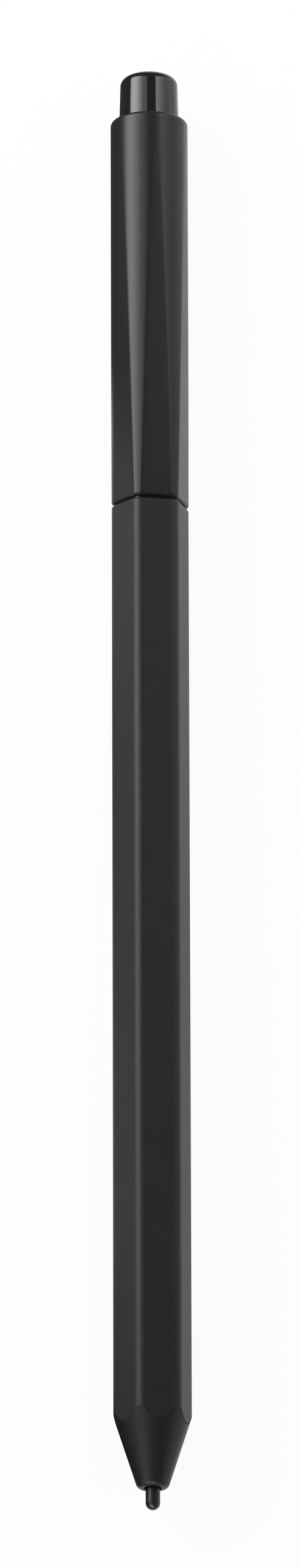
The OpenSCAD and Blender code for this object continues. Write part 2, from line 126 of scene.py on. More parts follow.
class PenSizes(bpy.types.PropertyGroup):
    """Sizes of the pen that its packed boxes don't give."""

    corner_radius: size("Corner radius", 1.3, "Rounding of the barrel's six long edges")
    nose_diameter: size("Nose diameter", 3.35, "Nose face before it is rounded")
    nose_round: size("Nose rounding", 0.7, "Rounding of the nose edge")
    cone_angle: tilt("Cone angle", 17.8, "Half angle of the sharpened cone")
    cone_wall: size("Cone wall", 0.75, "Wall of the hollow cone")
    crease_depth: size("Crease depth", 0.008, "Depth of the fine line between cone and flats")
    crease_width: size("Crease width", 0.06, "Half width of the fine line")
    crease_shade: size("Crease shade", 0.11, "Half width of the dark shade along the fine line")
    bore_diameter: size("Barrel bore", 5.9, "Bore of the barrel")
    nib_hole: size("Nib hole", 1.9, "Hole through the nose")
    shoulder_round: size("Shoulder rounding", 0.18, "Rounding of the barrel's rim at the seam")
    mouth_round: size("Mouth rounding", 0.3, "Rounding of the cap's rim at the seam")
    collar_inset: size("Collar inset", 0.25, "Depth of the sleeve's collar below the barrel")
    flat_run: size("Run of the flats", 42.5, "Length over which the cap's flats run out")
    flat_fade: FloatProperty(
        name="Fade of the flats", description="Power with which the cap's flats run out",
        default=1.28, min=1.0, max=3.0,
    )
    flat_blend: size("Softness of the flats", 0.02, "Rounding of the edges of the cap's flats")
    crown_round: size("Crown rounding", 0.45, "Rounding of the cap's rear edge")
    cap_bore: size("Cap bore", 6.2, "Bore of the cap")
    pocket_diameter: size("Eraser pocket", 6.8, "Pocket that the eraser slides in")
    pocket_depth: size("Pocket depth", 4.1, "Depth of the eraser pocket")
    pocket_floor: size("Pocket floor", 1.2, "Thickness of the floor below the pocket")
    stem_hole: size("Stem hole", 2.6, "Hole for the eraser's stem")
    eraser_draft: tilt("Eraser draft", 1.5, "Draft of the eraser's side")
    eraser_round: size("Eraser rounding", 1.0, "Rounding of the eraser's rear edge")
    eraser_roof: size("Eraser roof", 2.4, "Solid end of the eraser")
    skirt_length: size("Skirt length", 3.0, "Length of the eraser inside the cap")
    skirt_wall: size("Skirt wall", 0.8, "Wall of the eraser's skirt")
    stem_diameter: size("Stem diameter", 2.5, "Stem of the eraser")
    clip_groove: size("Clip groove", 1.9, "Stem diameter in the clip's groove")
    sleeve_seat: size("Sleeve seat", 5.86, "Sleeve diameter inside the barrel")
    sleeve_reach: size("Sleeve reach", 6.1, "Sleeve diameter inside the cap")
    sleeve_bore: size("Sleeve bore", 3.8, "Bore of the sleeve")
    return_wire: size("Return spring wire", 0.22, "Wire of the nib's return spring")
    return_turns: count("Return spring turns", 5, "Turns of the return spring")
    eraser_wire: size("Eraser spring wire", 0.3, "Wire of the eraser spring")
    eraser_turns: count("Eraser spring turns", 8, "Turns of the eraser spring")
    winding_wire: size("Winding wire", 0.32, "Pitch of the copper windings")
    core_diameter: size("Core diameter", 3.64, "Inside of the tip winding")
    bobbin_diameter: size("Bobbin diameter", 3.68, "Inside of the eraser winding")


class PenColours(bpy.types.PropertyGroup):
    """Linear colours of the pen's finishes and of the floor."""

    shell: colour("Shell", (0.0110, 0.0110, 0.0118), "Matte barrel and cap")
    eraser: colour("Eraser", (0.008, 0.008, 0.0085), "Glossy eraser")
    nib: colour("Nib", (0.010, 0.010, 0.0105), "Satin nib")
    # Partly painted shade: the sleeve's black is darker than the shell's so that its collar in the seam's
    # gap looks shaded
    sleeve: colour("Sleeve", (0.003, 0.003, 0.0033), "Black joint sleeve")
    rubber: colour("Rubber", (0.028, 0.028, 0.029), "Rubber rings and packings")
    ferrite: colour("Ferrite", (0.058, 0.053, 0.050), "Ferrite core, rod and slug")
    copper: colour("Copper", (0.52, 0.20, 0.065), "Enamelled copper wire")
    carrier: colour("Carrier", (0.070, 0.078, 0.088), "Grey moulded carriers")
    holder: colour("Nib holder", (0.66, 0.66, 0.62), "White nib holder")
    steel: colour("Steel", (0.46, 0.47, 0.49), "Spring steel")
    ceramic: colour("Ceramic", (0.78, 0.72, 0.58), "Dielectric disc")
    brass: colour("Brass", (0.58, 0.38, 0.13), "Sensor terminal")
    board: colour("Board", (0.012, 0.085, 0.032), "Circuit board")
    chip: colour("Chip", (0.013, 0.013, 0.014), "Tuning chip")
    capacitor: colour("Capacitor", (0.46, 0.36, 0.25), "Chip capacitors")
    floor: colour("Floor", (0.9, 0.9, 0.9), "Pale studio floor")


class Value:
    """A shader socket that Python's +, - and * work on: each operation adds a Math node."""

    def __init__(self, finish, socket):
        self.finish = finish
        self.socket = socket

    def math(self, operation, first, second):
        return self.finish.node("ShaderNodeMath", {0: first, 1: second}, operation=operation)

    def __add__(self, other):
        return self.math("ADD", self, other)

    def __radd__(self, other):
        return self.math("ADD", other, self)

    def __sub__(self, other):
        return self.math("SUBTRACT", self, other)

    def __rsub__(self, other):
        return self.math("SUBTRACT", other, self)

    def __mul__(self, other):
        return self.math("MULTIPLY", self, other)

    def __rmul__(self, other):
        return self.math("MULTIPLY", other, self)


class Finish:
    """The node tree of one finish, with the patterns that several finishes share."""

    def __init__(self, tree):
        self.tree = tree
        tree.nodes.clear()

    def node(self, kind, inputs=None, output=0, **settings):
        """Adds a node: its settings first, then a value or a link for each input. Gives one output."""
        made = self.tree.nodes.new(kind)
        for key, value in settings.items():
            setattr(made, key, value)
        for key, value in (inputs or {}).items():
            if isinstance(value, Value):
                self.tree.links.new(value.socket, made.inputs[key])
            else:
                made.inputs[key].default_value = value
        return Value(self, made.outputs[output]) if made.outputs else None

    def place(self, stretch=(1.0, 1.0, 1.0)):
        """Object coordinates, stretched along each axis."""
        spot = self.node("ShaderNodeTexCoord", output="Object")
        return self.node("ShaderNodeMapping", {"Vector": spot, "Scale": stretch})

    def noise(self, grain, detail=3.0, stretch=(1.0, 1.0, 1.0)):
        """Noise whose features are about as wide as grain, in millimetres."""
        inputs = {"Vector": self.place(stretch), "Scale": 1.0 / (grain * MM)}
        return self.node("ShaderNodeTexNoise", inputs | {"Detail": detail, "Roughness": 0.55})

    def specks(self, grain):
        """Distance to the nearest of scattered points that lie about grain apart, in millimetres."""
        return self.node("ShaderNodeTexVoronoi", {"Vector": self.place(), "Scale": 1.0 / (grain * MM)})

    def along(self, axis):
        """One of the object coordinates."""
        spot = self.node("ShaderNodeTexCoord", output="Object")
        return self.node("ShaderNodeSeparateXYZ", {0: spot}, axis)

    def ramp(self, value, low, high):
        """0 below low, 1 above high, and smooth between them."""
        inputs = {"Value": value, "From Min": low, "From Max": high}
        return self.node("ShaderNodeMapRange", inputs, interpolation_type="SMOOTHSTEP", clamp=True)

    def stripes(self, axis, pitch):
        """A wave from 0 to 1 along one axis, with a pitch in millimetres."""
        turns = self.along(axis) * (2.0 * math.pi / (pitch * MM))
        return self.node("ShaderNodeMath", {0: turns}, operation="SINE") * 0.5 + 0.5

    def mix(self, factor, first, second):
        """Mixes two colours."""
        return self.node("ShaderNodeMix", {0: factor, 6: first, 7: second}, 2, data_type="RGBA")

    def shades(self, factor, rgb, dark, light):
        """Mixes two tints of one colour."""
        return self.mix(factor, tint(rgb, dark), tint(rgb, light))

    def bump(self, height, depth):
        """A normal that follows a height of up to depth, in millimetres."""
        inputs = {"Height": height, "Distance": depth * MM, "Strength": 1.0}
        return self.node("ShaderNodeBump", inputs, "Normal")

    def surface(self, tone, roughness, **sockets):
        """The principled surface; names of further sockets use _ for a space."""
        inputs = {"Base Color": tone, "Roughness": roughness}
        inputs |= {name.replace("_", " "): value for name, value in sockets.items()}
        bsdf = self.node("ShaderNodeBsdfPrincipled", inputs)
        self.node("ShaderNodeOutputMaterial", {"Surface": bsdf})


def tint(rgb, factor=1.0):
    """A colour with alpha, made lighter or darker by a factor."""
    return (*(min(part * factor, 1.0) for part in rgb), 1.0)


def shell_finish(f, c, roughness, depth):
    """Matte plastic: fine moulded grain, faint clouds, painted shade along the crease, and edges polished by
    handling.
    """
    wear = f.node("ShaderNodeAttribute", output="Fac", attribute_name="edge_wear")
    crease = f.node("ShaderNodeAttribute", output="Fac", attribute_name="crease_shade")
    clouds = f.noise(4.0, 2.0)
    grain = f.noise(0.07)
    base = f.shades(clouds * 0.5 + grain * 0.5, c.shell, 0.7, 1.3)
    worn = f.mix(wear * 0.45 * grain, base, tint(c.shell, 2.2))
    # The crease_shade mark is painted shade: it darkens the colour to a tenth and raises the roughness along
    # the crease
    f.surface(
        f.mix(crease, worn, tint(c.shell, 0.1)),
        roughness + grain * 0.06 + clouds * 0.04 - wear * 0.04 + crease * 0.3,
        Specular_IOR_Level=0.25,
        Normal=f.bump(grain, depth),
    )


def eraser_finish(f, c):
    """Glossy black: faint smears in the polish and specks of dust."""
    smears = f.noise(1.6, 4.0, (1.0, 0.35, 1.0))
    dust = f.ramp(f.noise(0.12, 1.0), 0.74, 0.80)
    f.surface(
        f.shades(dust * 0.12, c.eraser, 1.0, 9.0),
        0.07 + smears * 0.07 + dust * 0.2,
        Specular_IOR_Level=0.33,
        Normal=f.bump(smears, 0.002),
    )


def nib_finish(f, c):
    """Satin nib: drawn lines along it, and a tip that use has rubbed lighter and smoother."""
    lines = f.noise(0.08, 2.0, (1.0, 0.04, 1.0))
    rubbed = 1.0 - f.ramp(f.along("Y"), NIB_LOW.y, NIB_LOW.y + 0.7 * MM)
    f.surface(
        f.shades(rubbed * 0.5 + lines * 0.2, c.nib, 1.0, 2.0),
        0.22 + lines * 0.10 - rubbed * 0.06,
        Specular_IOR_Level=0.35,
        Normal=f.bump(lines, 0.002),
    )


def sleeve_finish(f, c):
    """Turned black plastic: fine rings round the sleeve. Its colour is set darker than the shell's, as
    painted shade on the collar in the seam's gap.
    """
    rings = f.stripes("Y", 0.11)
    clouds = f.noise(1.5)
    f.surface(
        f.shades(clouds, c.sleeve, 0.8, 1.3),
        0.18 + clouds * 0.1,
        Specular_IOR_Level=0.15,
        Normal=f.bump(rings, 0.001),
    )


def rubber_finish(f, c):
    """Dull rubber: chalky clouds and a soft skin."""
    clouds = f.noise(0.8)
    skin = f.noise(0.07)
    tone = f.shades(clouds, c.rubber, 0.75, 1.35)
    f.surface(tone, 0.7 + skin * 0.2, Normal=f.bump(skin, 0.008))


def ferrite_finish(f, c):
    """Sintered ferrite: dark grains with a few bright ones, and a slightly rough skin."""
    grains = f.specks(0.09)
    clouds = f.noise(0.6)
    base = f.shades(clouds, c.ferrite, 0.7, 1.2)
    tone = f.mix((1.0 - f.ramp(grains, 0.0, 0.25)) * 0.5, base, tint(c.ferrite, 2.6))
    f.surface(tone, 0.5 + clouds * 0.2, Normal=f.bump(grains, 0.006))


def copper_finish(f, c):
    """Enamelled copper: a clear coat over wire whose colour varies from turn to turn."""
    turns = f.noise(0.3, 1.0, (0.05, 1.0, 0.05))
    tone = f.shades(turns, c.copper, 0.7, 1.2)
    f.surface(tone, 0.24 + turns * 0.14, Metallic=1.0, Coat_Weight=0.6, Coat_Roughness=0.15)


def carrier_finish(f, c):
    """Grey moulded carrier: flow lines along it and a fine spark texture."""
    flow = f.noise(1.2, 3.0, (1.0, 0.15, 1.0))
    spark = f.noise(0.08)
    tone = f.shades(flow, c.carrier, 0.85, 1.15)
    f.surface(tone, 0.45 + spark * 0.15, Normal=f.bump(spark, 0.006))


def holder_finish(f, c):
    """White sliding plastic: faint grey rubbing along the travel."""
    rubbing = f.noise(0.35, 3.0, (1.0, 0.2, 1.0))
    tone = f.shades(rubbing, c.holder, 0.86, 1.04)
    f.surface(tone, 0.36 + rubbing * 0.12, Normal=f.bump(rubbing, 0.003))


def steel_finish(f, c):
    """Drawn spring steel: fine streaks and slight heat tint."""
    streaks = f.noise(0.06, 3.0)
    heat = f.noise(1.1)
    tone = f.shades(heat, c.steel, 0.85, 1.1)
    f.surface(tone, 0.2 + streaks * 0.16, Metallic=1.0, Normal=f.bump(streaks, 0.002))


def ceramic_finish(f, c):
    """Cream ceramic: fired specks under a dull skin."""
    specks = f.specks(0.14)
    tone = f.shades(f.ramp(specks, 0.0, 0.3), c.ceramic, 0.8, 1.0)
    f.surface(tone, 0.5 + f.noise(0.1) * 0.2, Normal=f.bump(specks, 0.004))


def brass_finish(f, c):
    """Stamped brass: brushed across, with darker tarnish in clouds."""
    brushed = f.noise(0.05, 2.0, (0.05, 1.0, 1.0))
    tarnish = f.noise(0.9)
    tone = f.shades(tarnish, c.brass, 0.7, 1.1)
    f.surface(tone, 0.24 + brushed * 0.16, Metallic=1.0, Normal=f.bump(brushed, 0.002))


def board_finish(f, c):
    """Circuit board: raised tracks with breaks under green resist, and rows of gold pads."""
    lanes = f.ramp(f.stripes("X", 0.62), 0.55, 0.68)
    breaks = f.ramp(f.noise(2.4, 0.0, (1.0, 0.6, 1.0)), 0.42, 0.46)
    tracks = lanes * breaks
    pads = lanes * f.ramp(f.stripes("Y", 6.5), 0.93, 0.95)
    tone = f.mix(pads, f.shades(tracks, c.board, 1.0, 1.9), tint(c.brass, 1.25))
    rough = 0.34 + f.noise(0.1) * 0.12
    f.surface(tone, rough, Metallic=pads, Normal=f.bump(tracks, 0.012))


def chip_finish(f, c):
    """Moulded chip package: dull black with a fine sand texture."""
    sand = f.noise(0.05)
    f.surface(f.shades(sand, c.chip, 0.7, 1.6), 0.55 + sand * 0.2, Normal=f.bump(sand, 0.006))


def capacitor_finish(f, c):
    """Chip capacitor: tan ceramic between two tinned ends."""
    reach = f.node("ShaderNodeMath", {0: f.along("X")}, operation="ABSOLUTE")
    ends = f.ramp(reach, 0.27 * MM, 0.29 * MM)
    specks = f.noise(0.06)
    tone = f.mix(ends, f.shades(specks, c.capacitor, 0.85, 1.1), tint(c.steel, 1.4))
    f.surface(tone, 0.42 - ends * 0.1 + specks * 0.1, Metallic=ends)


FINISHES = {
    "barrel_matte": lambda f, c: shell_finish(f, c, 0.36, 0.014),
    "cap_matte": lambda f, c: shell_finish(f, c, 0.26, 0.0035),
    "eraser_gloss": eraser_finish,
    "nib_black": nib_finish,
    "sleeve_black": sleeve_finish,
    "rubber_black": rubber_finish,
    "ferrite_grey": ferrite_finish,
    "copper_wire": copper_finish,
    "carrier_grey": carrier_finish,
    "holder_white": holder_finish,
    "spring_steel": steel_finish,
    "disc_cream": ceramic_finish,
    "terminal_brass": brass_finish,
    "board_green": board_finish,
    "chip_black": chip_finish,
    "capacitor_tan": capacitor_finish,
}


def finish(look):
    """The material of one of the looks above, made the first time that it is asked for."""
    name = f"{look}_finish"
    material = bpy.data.materials.get(name)
    if material is None:
        material = bpy.data.materials.new(name)
        material.use_nodes = True
        FINISHES[look](Finish(material.node_tree), bpy.context.scene.pen_colours)
    return material


def grid_mesh(name, points, ring=True):
    """A closed surface through a grid of points, rows by columns, whose columns go all the way round.

    With ring, the last row joins the first. Otherwise the first and last rows are poles: each is one point.
    Each cell is a quad between two rows and two columns. The faces are turned if the volume that they
    enclose, the sum of the triple products of their corners, comes out negative.
    """
    rows, columns, _ = points.shape
    index = np.arange(rows * columns).reshape(rows, columns)
    if not ring:
        index[[0, -1]] = index[[0, -1], :1]
    lower = index if ring else index[:-1]
    upper = np.roll(index, -1, axis=0)[: len(lower)]
    corners = [lower, np.roll(lower, -1, axis=1), np.roll(upper, -1, axis=1), upper]
    used, cells = np.unique(np.stack(corners, axis=-1), return_inverse=True)
    cells = cells.reshape(-1, 4)
    spots = points.reshape(-1, 3)[used]
    a, b, c, d = (spots[cells[:, k]] - spots.mean(axis=0) for k in range(4))
    if np.sum(np.cross(a, b) * c) + np.sum(np.cross(a, c) * d) < 0.0:
        cells = cells[:, ::-1]
    ahead = np.roll(cells, -1, axis=1) != cells
    faces = [cells[ahead.all(axis=1)].tolist()]
    faces += [np.delete(cells[~ahead[:, k]], k, axis=1).tolist() for k in range(4)]
    mesh = bpy.data.meshes.new(name)
    mesh.from_pydata(spots, [], sum(faces, []))
    mesh.validate()
    return mesh, used


def add_piece(name, points, slot, body, nodes, ring=True, look=None, marks=None, sharp=40.0):
    """Puts a grid of points into the scene as a smooth piece that rides a body and stands for CAD nodes."""
    mesh, used = grid_mesh(name, points, ring)
    mesh.shade_smooth()
    mesh.set_sharp_from_angle(angle=math.radians(sharp))
    for mark, strength in (marks or {}).items():
        attribute = mesh.attributes.new(mark, "FLOAT", "POINT")
        attribute.data.foreach_set("value", strength.reshape(-1)[used].astype(np.float32))
    piece = bpy.data.objects.new(name, mesh)
    bpy.context.scene.collection.objects.link(piece)
    mesh.materials.append(finish(look or slot))
    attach(piece, body)
    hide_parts(*nodes)
    return piece


def rounded(corners, steps=6, support=0.35):
    """An open profile with its corners rounded; each corner is (along, out, radius).

    At a corner with the turn angle w, the arc starts and ends radius * tan(w / 2) away from it. Its points
    are the spherical mix of the two directions from the arc's centre. A support point lies outside each end,
    support times the radius away, and at most SUPPORT_SHARE of the straight part that the arcs leave.
    """
    data = np.array(corners, float)
    spots, radii = data[:, :2], data[1:-1, 2]
    steps_out = np.diff(spots, axis=0)
    lengths = np.linalg.norm(steps_out, axis=1)
    ways = steps_out / lengths[:, None]
    before, after = ways[:-1], ways[1:]
    turn = np.arccos(np.clip(np.sum(before * after, axis=1), -1.0, 1.0))
    reach = (radii * np.tan(turn / 2.0))[:, None]
    straight = lengths - np.append(reach, 0.0) - np.insert(reach, 0, 0.0)
    inward = after - before
    inward /= np.linalg.norm(inward, axis=1, keepdims=True)
    centre = spots[1:-1] + inward * (radii / np.cos(turn / 2.0))[:, None]
    start, end = spots[1:-1] - before * reach, spots[1:-1] + after * reach
    share = np.linspace(0.0, 1.0, steps + 1)[:, None]
    first = np.sin((1.0 - share) * turn)[..., None] * (start - centre)
    last = np.sin(share * turn)[..., None] * (end - centre)
    arcs = centre + (first + last) / np.sin(turn)[:, None]
    room_before = np.minimum(support * radii, SUPPORT_SHARE * straight[:-1])[:, None]
    room_after = np.minimum(support * radii, SUPPORT_SHARE * straight[1:])[:, None]
    arcs = np.concatenate([(start - before * room_before)[None], arcs, (end + after * room_after)[None]])
    return np.concatenate([spots[:1], arcs.transpose(1, 0, 2).reshape(-1, 2), spots[-1:]])


def turned(profile, columns=ROUND_COLUMNS):
    """Revolves a profile of (y, radius) rows: x and height are the radius times sine and cosine."""
    angle = np.linspace(0.0, 2.0 * math.pi, columns, endpoint=False)
    return around(profile[:, :1], profile[:, 1:], angle[None])


def around(y, radius, angle):
    """Points at a distance from the pen's axis; angle 0 is up, and a quarter turn is towards +X."""
    y, radius, angle = np.broadcast_arrays(y, radius, angle)
    return np.stack([radius * np.sin(angle), y, AXIS_HEIGHT + radius * np.cos(angle)], axis=-1)


def groove(front, rear, outer, floor, edge):
    """Corners of a ring's groove in a profile, with RING_ROOM to spare on both sides."""
    front, rear = front - RING_ROOM, rear + RING_ROOM
    return [(front, outer, edge), (front, floor, edge), (rear, floor, edge), (rear, outer, edge)]


def wire_tube(path, side, wire, sides=12):
    """A round wire along a path, with a pole at each end.

    Each ring lies in the plane of the path's side direction and of the cross product of side and tangent:
    point + wire / 2 * (cosine * side + sine * cross).
    """
    tangent = np.gradient(path, axis=0)
    tangent /= np.linalg.norm(tangent, axis=1, keepdims=True)
    side = side - tangent * np.sum(side * tangent, axis=1, keepdims=True)
    side /= np.linalg.norm(side, axis=1, keepdims=True)
    across = np.cross(tangent, side)
    angle = np.linspace(0.0, 2.0 * math.pi, sides, endpoint=False)[:, None]
    rings = path[:, None] + wire / 2.0 * (np.cos(angle) * side[:, None] + np.sin(angle) * across[:, None])
    poles = np.repeat(path[[0, -1], None], sides, axis=1)
    return np.concatenate([poles[:1], rings, poles[1:]])


# Columns of the hexagon: shares of a flat's half width, then shares of a corner's turn
FLAT_SHARE = np.concatenate([[-1.0, -0.965], np.linspace(-0.9, 0.9, 15), [0.965, 1.0]])
CORNER_SHARE = np.linspace(0.0, 1.0, 11)[1:-1]


def hexagon(inset, corner):
    """Outline of the hexagon, moved inwards by inset, as x and height of each column.

    On a side, a column at a share of the half width lies straight out at the apothem. On a corner it goes
    round the corner's centre. The side is then turned six times by 60 degrees.
    """
    half = (APOTHEM - corner) * math.tan(SIXTH / 2.0)
    bend = CORNER_SHARE * SIXTH
    flat = np.full_like(FLAT_SHARE, APOTHEM - inset)
    along = np.concatenate([FLAT_SHARE * half, half + (corner - inset) * np.sin(bend)])
    out = np.concatenate([flat, APOTHEM - corner + (corner - inset) * np.cos(bend)])
    turn = SIXTH * np.arange(6)[:, None]
    x = out * np.sin(turn) + along * np.cos(turn)
    height = out * np.cos(turn) - along * np.sin(turn)
    return x.ravel(), height.ravel()


def bell(distance, width):
    """A bell curve: e to the power of minus (distance / width) squared."""
    return np.exp(-((distance / width) ** 2))


# Rows of the barrel: along the cone, along the flats as shares, and round the shoulder
CONE_ROWS = 14
FLAT_ROWS = np.concatenate([np.linspace(0.0, 0.996, 36), [0.9985]])[:, None]
SHOULDER_ROWS = 7
# Rows on the shoulder's face: a share of its width from outside, and a step from the bore
FACE_SHARE, FACE_STEP = 0.06, 0.5 * MM
# Rows beside the crease, as distances in metres, and where the evenly spaced rows begin
CREASE_ROWS = np.array([0.02, 0.045, 0.075, 0.12, 0.2]) * MM
CREASE_END = CREASE_ROWS[-1] * 1.6
# Strength of the painted shade along the crease on a flat, and how much of it a corner takes away
CREASE_STRENGTH, CORNER_LOSS = 0.75, 0.6
# Roundings inside the nose: of the hollow cone's end and of the nib hole's edge
HOLLOW_BEND, HOLE_EDGE = 0.6 * MM, 0.18 * MM


class PEN_OT_barrel(bpy.types.Operator):
    """Hexagonal barrel that is sharpened to a cone, hollow, with a nose hole"""

    bl_idname = "pen.barrel"
    bl_label = "Barrel"

    def execute(self, context):
        """Rows of the surface run from the shoulder's face into the bore, down to the nose hole, out over
        the nose, up the cone to the crease, along the flats to the shoulder, and over it.

        The cone's radius grows with the tangent of its half angle. The crease lies where it reaches the
        hexagon's own radius in each column, so every flat ends in a scallop. A bell curve sinks the fine
        line along it.
        """
        s = context.scene.pen_sizes
        x, height = hexagon(0.0, s.corner_radius)
        angle, radius = np.arctan2(x, height), np.hypot(x, height)
        slope = math.tan(s.cone_angle)
        nose, bore, hole = s.nose_diameter / 2.0, s.bore_diameter / 2.0, s.nib_hole / 2.0
        wall = s.cone_wall / math.cos(s.cone_angle)
        crease = NOSE_Y + (radius - nose) / slope
        hollow_end = NOSE_Y + (bore + wall - nose) / slope
        ring_r = nose + (NOSE_RING_Y - NOSE_Y) * slope - wall
        inside = rounded([
            (SHOULDER_Y, bore + FACE_STEP, 0.0),
            (SHOULDER_Y, bore, BROKEN_EDGE),
            (hollow_end, bore, HOLLOW_BEND),
            (NOSE_RING_Y, ring_r, SMALL_EDGE),
            (NOSE_RING_Y, hole, FINE_EDGE),
            (NOSE_Y, hole, HOLE_EDGE),
            (NOSE_Y, nose, s.nose_round),
            (NOSE_Y + s.nose_round, nose + s.nose_round * slope, 0.0),
        ])
        inner = around(inside[:, :1], inside[:, 1:], angle)
        cone_start = inside[-1, 0]
        cone_share = np.linspace(0.0, 1.0, CONE_ROWS)[1:, None]
        cone_y = cone_start + (crease - CREASE_END - cone_start) * cone_share
        cone_y = np.concatenate([cone_y, crease - CREASE_ROWS[::-1, None], crease[None]])
        rim_y = SHOULDER_Y - s.shoulder_round
        flat_start = crease + CREASE_END
        flat_y = flat_start + (rim_y - flat_start) * FLAT_ROWS
        flat_y = np.concatenate([crease + CREASE_ROWS[:, None], flat_y])
        cone_groove = s.crease_depth * bell(cone_y - crease, s.crease_width)
        flat_groove = s.crease_depth * bell(flat_y - crease, s.crease_width)
        cone = around(cone_y, nose + (cone_y - NOSE_Y) * slope - cone_groove, angle)
        flats = around(flat_y, radius - flat_groove, angle)
        bend = np.linspace(0.0, math.pi / 2.0, SHOULDER_ROWS)
        rims = [hexagon(s.shoulder_round * (1.0 - math.cos(b)), s.corner_radius) for b in bend]
        rim = np.stack([
            np.column_stack([rx, np.full_like(rx, rim_y + s.shoulder_round * math.sin(b)), AXIS_HEIGHT + rz])
            for b, (rx, rz) in zip(bend, rims)
        ])
        face = rim[-1:] + (inner[:1] - rim[-1:]) * FACE_SHARE
        points = np.concatenate([inner, cone, flats, rim, face])
        worn = np.tile(np.concatenate([np.zeros_like(FLAT_SHARE), np.sin(math.pi * CORNER_SHARE)]), 6)
        first_cone, first_flat = len(inner), len(inner) + len(cone)
        first_rim = first_flat + len(flats)
        wear, shade = np.zeros((2, *points.shape[:2]))
        wear[first_flat:first_rim] = worn
        wear[first_rim:-1] = 1.0
        # Painted shade along the crease: a bell curve across it, weaker on the corners
        off_crease = np.concatenate([cone_y, flat_y]) - crease
        strength = CREASE_STRENGTH - CORNER_LOSS * worn
        shade[first_cone:first_rim] = strength * bell(off_crease, s.crease_shade)
        marks = {"edge_wear": wear, "crease_shade": shade}
        add_piece(
            "barrel_shell", points, "shell_matte", "body", ["barrel"], look="barrel_matte", marks=marks
        )
        return {"FINISHED"}


# Least half width of a cap flat as an angle: its columns stay apart where it has run out
LEAST_HALF = math.radians(1.2)
# Rows of the cap: along the flats, from there to the crown, and round each rim
RUN_ROWS, END_ROWS, RIM_ROWS = 44, 8, 8
# First row past the mouth as a share of the run, and the room beside the mouth and the crown
MOUTH_SHARE, MOUTH_ROOM, CROWN_ROOM = 0.002, 0.4 * MM, 0.15 * MM
# Columns of the strip between two flats
STRIP_SHARE = np.concatenate([[0.035], np.linspace(0.1, 0.9, 9), [0.965]])
# Wear: width beside a flat's edge in half widths, and strength on the strips and round the crown
WEAR_WIDTH, STRIP_WEAR, CROWN_WEAR = 0.08, 0.4, 0.7
# Step from a bore to the row beside it on an end face
END_STEP = 0.4 * MM


class PEN_OT_rear_cap(bpy.types.Operator):
    """Rear cap: six flats at the seam that run out into a round crown"""

    bl_idname = "pen.rear_cap"
    bl_label = "Rear cap"

    def execute(self, context):
        """The outside is a cylinder that six tapering planes cut: its radius is the smaller of its own and
        the plane's distance over the cosine of the angle from the flat's middle. A smooth minimum, the mean
        of both less the hypotenuse of half their difference and a small blend, rounds the edges off. A
        plane's depth fades with a power of what is left of its run. Columns follow the edges of the flats,
        whose half width is the arc cosine of distance over radius.
        """
        s = context.scene.pen_sizes
        mouth, crown = CAP_LOW.y, CAP_HIGH.y
        deepest = EDGE_REACH - APOTHEM
        run_rows = s.flat_run * (1.0 - np.linspace(1.0, 0.0, RUN_ROWS) ** 2)
        body_y = np.concatenate([
            mouth + s.mouth_round + (s.flat_run - s.mouth_round) * np.array([0.0, MOUTH_SHARE]),
            mouth + run_rows[run_rows > s.mouth_round + MOUTH_ROOM],
            np.linspace(mouth + s.flat_run, crown - s.crown_round, END_ROWS)[1:-1],
            [crown - s.crown_round - CROWN_ROOM],
        ])
        bend = np.linspace(0.0, math.pi / 2.0, RIM_ROWS)
        along, inward = 1.0 - np.sin(bend), 1.0 - np.cos(bend)
        mouth_y, mouth_in = mouth + s.mouth_round * along[:0:-1], s.mouth_round * inward[:0:-1]
        crown_y, crown_in = crown - s.crown_round * along, s.crown_round * inward
        y = np.concatenate([mouth_y, body_y, crown_y])[:, None]
        inset = np.concatenate([mouth_in, np.zeros_like(body_y), crown_in])[:, None]
        left = 1.0 - (y - mouth) / s.flat_run
        distance = EDGE_REACH - deepest * np.sign(left) * np.abs(left) ** s.flat_fade
        half = np.maximum(np.arccos(np.minimum(distance / EDGE_REACH, 1.0)), LEAST_HALF)
        offset = np.concatenate([half * FLAT_SHARE, half + (SIXTH - 2.0 * half) * STRIP_SHARE], axis=1)
        off_middle = np.where(offset > SIXTH / 2.0, SIXTH - offset, offset)
        plane = distance / np.cos(off_middle)
        middle, apart = (EDGE_REACH + plane) / 2.0, (EDGE_REACH - plane) / 2.0
        one_side = middle - np.hypot(apart, s.flat_blend) - inset
        angle = (offset[:, None] + SIXTH * np.arange(6)[:, None]).reshape(len(y), -1)
        outer = around(y, np.tile(one_side, 6), angle)
        pocket, cap_bore, stem_hole = s.pocket_diameter / 2.0, s.cap_bore / 2.0, s.stem_hole / 2.0
        pocket_y = crown - s.pocket_depth
        web_y = pocket_y - s.pocket_floor
        inside = rounded([
            (crown, pocket + END_STEP, 0.0),
            (crown, pocket, SMALL_EDGE),
            (pocket_y, pocket, BROKEN_EDGE),
            (pocket_y, stem_hole, FINE_EDGE),
            (web_y, stem_hole, FINE_EDGE),
            (web_y, cap_bore, BROKEN_EDGE),
            (mouth, cap_bore, BROKEN_EDGE),
            (mouth, cap_bore + END_STEP, 0.0),
        ])
        # The angles slide from the crown's columns to the mouth's along the inside
        share = np.linspace(0.0, 1.0, len(inside))[:, None]
        inner = around(inside[:, :1], inside[:, 1:], angle[-1:] + (angle[:1] - angle[-1:]) * share)
        points = np.concatenate([outer, inner])
        beside_edge = bell(np.abs(FLAT_SHARE) - 1.0, WEAR_WIDTH)
        edge = np.tile(np.concatenate([beside_edge, np.full_like(STRIP_SHARE, STRIP_WEAR)]), 6)
        rims = [np.ones_like(mouth_y), np.zeros_like(body_y), np.full_like(crown_y, CROWN_WEAR)]
        wear = np.maximum(edge * np.clip(left, 0.0, 1.0) ** 0.5, np.concatenate(rims)[:, None])
        marks = {"edge_wear": np.concatenate([wear, np.zeros(inner.shape[:2])])}
        add_piece(
            "rear_cap_shell", points, "shell_matte", "cap", ["rear_cap"], look="cap_matte", marks=marks
        )
        return {"FINISHED"}


